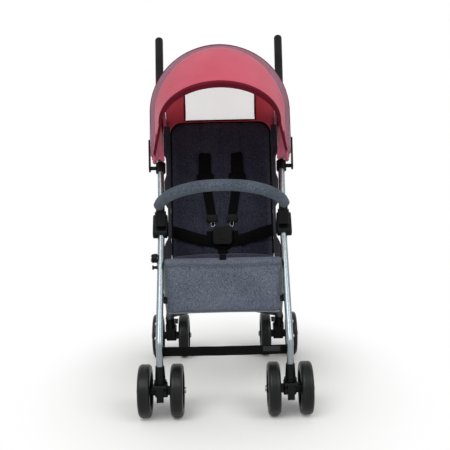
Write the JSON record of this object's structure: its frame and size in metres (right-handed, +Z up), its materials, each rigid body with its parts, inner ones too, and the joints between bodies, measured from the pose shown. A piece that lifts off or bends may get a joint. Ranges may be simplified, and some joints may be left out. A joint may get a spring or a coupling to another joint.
{
  "type": "baby stroller",
  "caption": "Cane-fold baby stroller with paired swivel front wheels, crossed rear brace, padded seat, reclining backrest, bumper bar, harness and arched folding canopy.",
  "frame": {"origin": "on the floor, mid wheelbase, under the centre plane", "axes": "+Z up, the front faces -Y, +X to the left hand of a seated child"},
  "size_m": [0.5076, 0.69, 1.0884],
  "materials": {
    "silver_tube": "satin silver coat",
    "grey_tube": "satin grey coat",
    "steel": "zinc plated",
    "black_plastic": "fine grain",
    "grip_rubber": "soft matte",
    "tyre": "foam tyre skin",
    "hub_plastic": "moulded",
    "seat_fabric": "melange weave",
    "calf_fabric": "melange weave",
    "bumper_fabric": "melange weave",
    "webbing": "woven webbing",
    "visor_fabric": "smooth weave",
    "canopy_fabric": "melange weave",
    "clear_film": "soft clear film"
  },
  "bodies": {
    "seat_unit": {"seat": "seat_fabric", "lap_harness": "webbing", "buckle": "black_plastic", "foot_strap": "webbing", "canopy_rear": "canopy_fabric", "canopy_window": "clear_film"},
    "backrest": {"backrest": "seat_fabric", "shoulder_harness": "webbing"},
    "calf_rest": {"calf_rest": "calf_fabric"},
    "canopy_visor": {"canopy_visor": "visor_fabric", "canopy_bow": "steel"},
    "canopy_mid": {"canopy_mid": "canopy_fabric"},
    "bumper_bar": {"bumper_core": "black_plastic", "bumper_sleeve": "bumper_fabric"},
    "buckle_button": {"buckle_button": "black_plastic"},
    "storage_latch": {"storage_latch": "black_plastic"},
    "right_side": {"right_front_leg": "silver_tube", "right_push_tube": "silver_tube", "right_grip": "grip_rubber", "right_hinge_housing": "black_plastic", "right_bumper_socket": "black_plastic", "right_foot_socket": "black_plastic", "right_frame_pins": "steel", "right_canopy_clamp": "black_plastic"},
    "right_rear_leg": {"right_rear_leg": "grey_tube", "right_rear_block": "black_plastic", "right_rear_axle": "steel"},
    "right_rear_wheels": {"right_rear_tyres": "tyre", "right_rear_hubs": "hub_plastic"},
    "right_brake_pedal": {"right_brake_pedal": "black_plastic"},
    "right_brace_bar": {"right_brace_bar": "grey_tube"},
    "right_brace_collar": {"right_brace_collar": "black_plastic"},
    "right_caster": {"right_caster": "black_plastic", "right_front_axle": "steel"},
    "right_front_wheels": {"right_front_tyres": "tyre", "right_front_hubs": "hub_plastic"},
    "right_swivel_lock": {"right_swivel_lock": "black_plastic"},
    "right_bumper_button": {"right_bumper_button": "black_plastic"},
    "left_side": {"left_front_leg": "silver_tube", "left_push_tube": "silver_tube", "left_grip": "grip_rubber", "left_hinge_housing": "black_plastic", "left_bumper_socket": "black_plastic", "left_foot_socket": "black_plastic", "left_frame_pins": "steel", "left_canopy_clamp": "black_plastic"},
    "left_rear_leg": {"left_rear_leg": "grey_tube", "left_rear_block": "black_plastic", "left_rear_axle": "steel"},
    "left_rear_wheels": {"left_rear_tyres": "tyre", "left_rear_hubs": "hub_plastic"},
    "left_brake_pedal": {"left_brake_pedal": "black_plastic"},
    "left_brace_bar": {"left_brace_bar": "grey_tube"},
    "left_brace_collar": {"left_brace_collar": "black_plastic"},
    "left_caster": {"left_caster": "black_plastic", "left_front_axle": "steel"},
    "left_front_wheels": {"left_front_tyres": "tyre", "left_front_hubs": "hub_plastic"},
    "left_swivel_lock": {"left_swivel_lock": "black_plastic"},
    "left_bumper_button": {"left_bumper_button": "black_plastic"}
  },
  "joints": [
    {"name": "fold", "type": "hinge", "parent": "right_side", "child": "right_rear_leg", "pos_m": [0.185, -0.05987, 0.48858], "axis": [-1, 0, 0], "range_deg": [0, 45], "deforming": ["seat", "lap_harness", "foot_strap", "canopy_rear", "canopy_window", "backrest", "shoulder_harness", "calf_rest", "canopy_visor", "canopy_bow", "canopy_mid", "bumper_core", "bumper_sleeve"]},
    {"name": "right_slide_in", "type": "slide", "parent": "seat_unit", "child": "right_side", "axis": [-1, 0, 0], "range_m": [0, 0.1001]},
    {"name": "right_bar_turn", "type": "hinge", "parent": "right_rear_leg", "child": "right_brace_bar", "pos_m": [0.185, 0.21778, 0.13879], "axis": [0, 0.7833, 0.6217], "range_deg": [0, 45.75]},
    {"name": "right_collar_slide", "type": "slide", "parent": "right_rear_leg", "child": "right_brace_collar", "axis": [0, -0.6217, 0.7833], "range_m": [0, 0.22735]},
    {"name": "right_caster_swivel", "type": "hinge", "parent": "right_side", "child": "right_caster", "pos_m": [0.178, -0.294, 0.111], "axis": [0, 0, 1], "continuous": true},
    {"name": "right_front_wheel_spin", "type": "hinge", "parent": "right_caster", "child": "right_front_wheels", "pos_m": [0.178, -0.27, 0.073], "axis": [1, 0, 0], "continuous": true},
    {"name": "right_rear_wheel_spin", "type": "hinge", "parent": "right_rear_leg", "child": "right_rear_wheels", "pos_m": [0.185, 0.27, 0.073], "axis": [1, 0, 0], "continuous": true},
    {"name": "right_lock_flip", "type": "hinge", "parent": "right_caster", "child": "right_swivel_lock", "pos_m": [0.178, -0.3168, 0.099], "axis": [1, 0, 0], "range_deg": [-45, 0]},
    {"name": "right_brake_press", "type": "hinge", "parent": "right_rear_leg", "child": "right_brake_pedal", "pos_m": [0.185, 0.296, 0.097], "axis": [1, 0, 0], "range_deg": [-18, 0]},
    {"name": "right_bumper_release", "type": "slide", "parent": "right_side", "child": "right_bumper_button", "axis": [1, 0, 0], "range_m": [-0.0025, 0], "stiffness_N_per_m": 400},
    {"name": "left_fold", "type": "hinge", "parent": "left_side", "child": "left_rear_leg", "pos_m": [-0.185, -0.05987, 0.48858], "axis": [-1, 0, 0], "range_deg": [0, 45.1]},
    {"name": "left_slide_in", "type": "slide", "parent": "seat_unit", "child": "left_side", "axis": [1, 0, 0], "range_m": [0, 0.1001]},
    {"name": "left_bar_turn", "type": "hinge", "parent": "left_rear_leg", "child": "left_brace_bar", "pos_m": [-0.185, 0.21778, 0.13879], "axis": [0, -0.7833, -0.6217], "range_deg": [0, 45.75]},
    {"name": "left_collar_slide", "type": "slide", "parent": "left_rear_leg", "child": "left_brace_collar", "axis": [0, -0.6217, 0.7833], "range_m": [0, 0.22735]},
    {"name": "left_caster_swivel", "type": "hinge", "parent": "left_side", "child": "left_caster", "pos_m": [-0.178, -0.294, 0.111], "axis": [0, 0, 1], "continuous": true},
    {"name": "left_front_wheel_spin", "type": "hinge", "parent": "left_caster", "child": "left_front_wheels", "pos_m": [-0.178, -0.27, 0.073], "axis": [1, 0, 0], "continuous": true},
    {"name": "left_rear_wheel_spin", "type": "hinge", "parent": "left_rear_leg", "child": "left_rear_wheels", "pos_m": [-0.185, 0.27, 0.073], "axis": [1, 0, 0], "continuous": true},
    {"name": "left_lock_flip", "type": "hinge", "parent": "left_caster", "child": "left_swivel_lock", "pos_m": [-0.178, -0.3168, 0.099], "axis": [1, 0, 0], "range_deg": [-45, 0]},
    {"name": "left_brake_press", "type": "hinge", "parent": "left_rear_leg", "child": "left_brake_pedal", "pos_m": [-0.185, 0.296, 0.097], "axis": [1, 0, 0], "range_deg": [-18, 0]},
    {"name": "left_bumper_release", "type": "slide", "parent": "left_side", "child": "left_bumper_button", "axis": [-1, 0, 0], "range_m": [-0.0025, 0], "stiffness_N_per_m": 400},
    {"name": "backrest_recline", "type": "hinge", "parent": "seat_unit", "child": "backrest", "pos_m": [0, 0.06, 0.372], "axis": [1, 0, 0], "range_deg": [-35, 0]},
    {"name": "calf_rest_lift", "type": "hinge", "parent": "seat_unit", "child": "calf_rest", "pos_m": [0, -0.168, 0.416], "axis": [1, 0, 0], "range_deg": [-70, 0]},
    {"name": "canopy_fold", "type": "hinge", "parent": "seat_unit", "child": "canopy_visor", "pos_m": [0, 0.03198, 0.669], "axis": [1, 0, 0], "range_deg": [-48, 0]},
    {"name": "canopy_mid_fold", "type": "hinge", "parent": "seat_unit", "child": "canopy_mid", "pos_m": [0, 0.03198, 0.669], "axis": [1, 0, 0], "range_deg": [-24.05, 0]},
    {"name": "bumper_lift", "type": "slide", "parent": "seat_unit", "child": "bumper_bar", "axis": [0, 0, -1], "range_m": [-0.05, 0]},
    {"name": "buckle_press", "type": "slide", "parent": "seat_unit", "child": "buckle_button", "axis": [0, -0.9694, 0.2453], "range_m": [-0.003, 0], "stiffness_N_per_m": 400},
    {"name": "latch_turn", "type": "hinge", "parent": "left_side", "child": "storage_latch", "pos_m": [-0.178, -0.14421, 0.422], "axis": [1, 0, 0], "range_deg": [-44, 0]}
  ],
  "couplings": [
    {"joint": "right_slide_in", "follows": "fold", "m_per_rad": 0.12732},
    {"joint": "right_bar_turn", "follows": "fold", "ratio": 1.0144},
    {"joint": "right_collar_slide", "follows": "fold", "m_per_rad": 0.28934},
    {"joint": "left_slide_in", "follows": "fold", "m_per_rad": 0.12732},
    {"joint": "left_bar_turn", "follows": "fold", "ratio": 1.0144},
    {"joint": "left_collar_slide", "follows": "fold", "m_per_rad": 0.28934},
    {"joint": "left_fold", "follows": "fold", "ratio": 1},
    {"joint": "canopy_mid_fold", "follows": "canopy_fold", "ratio": 0.5}
  ]
}
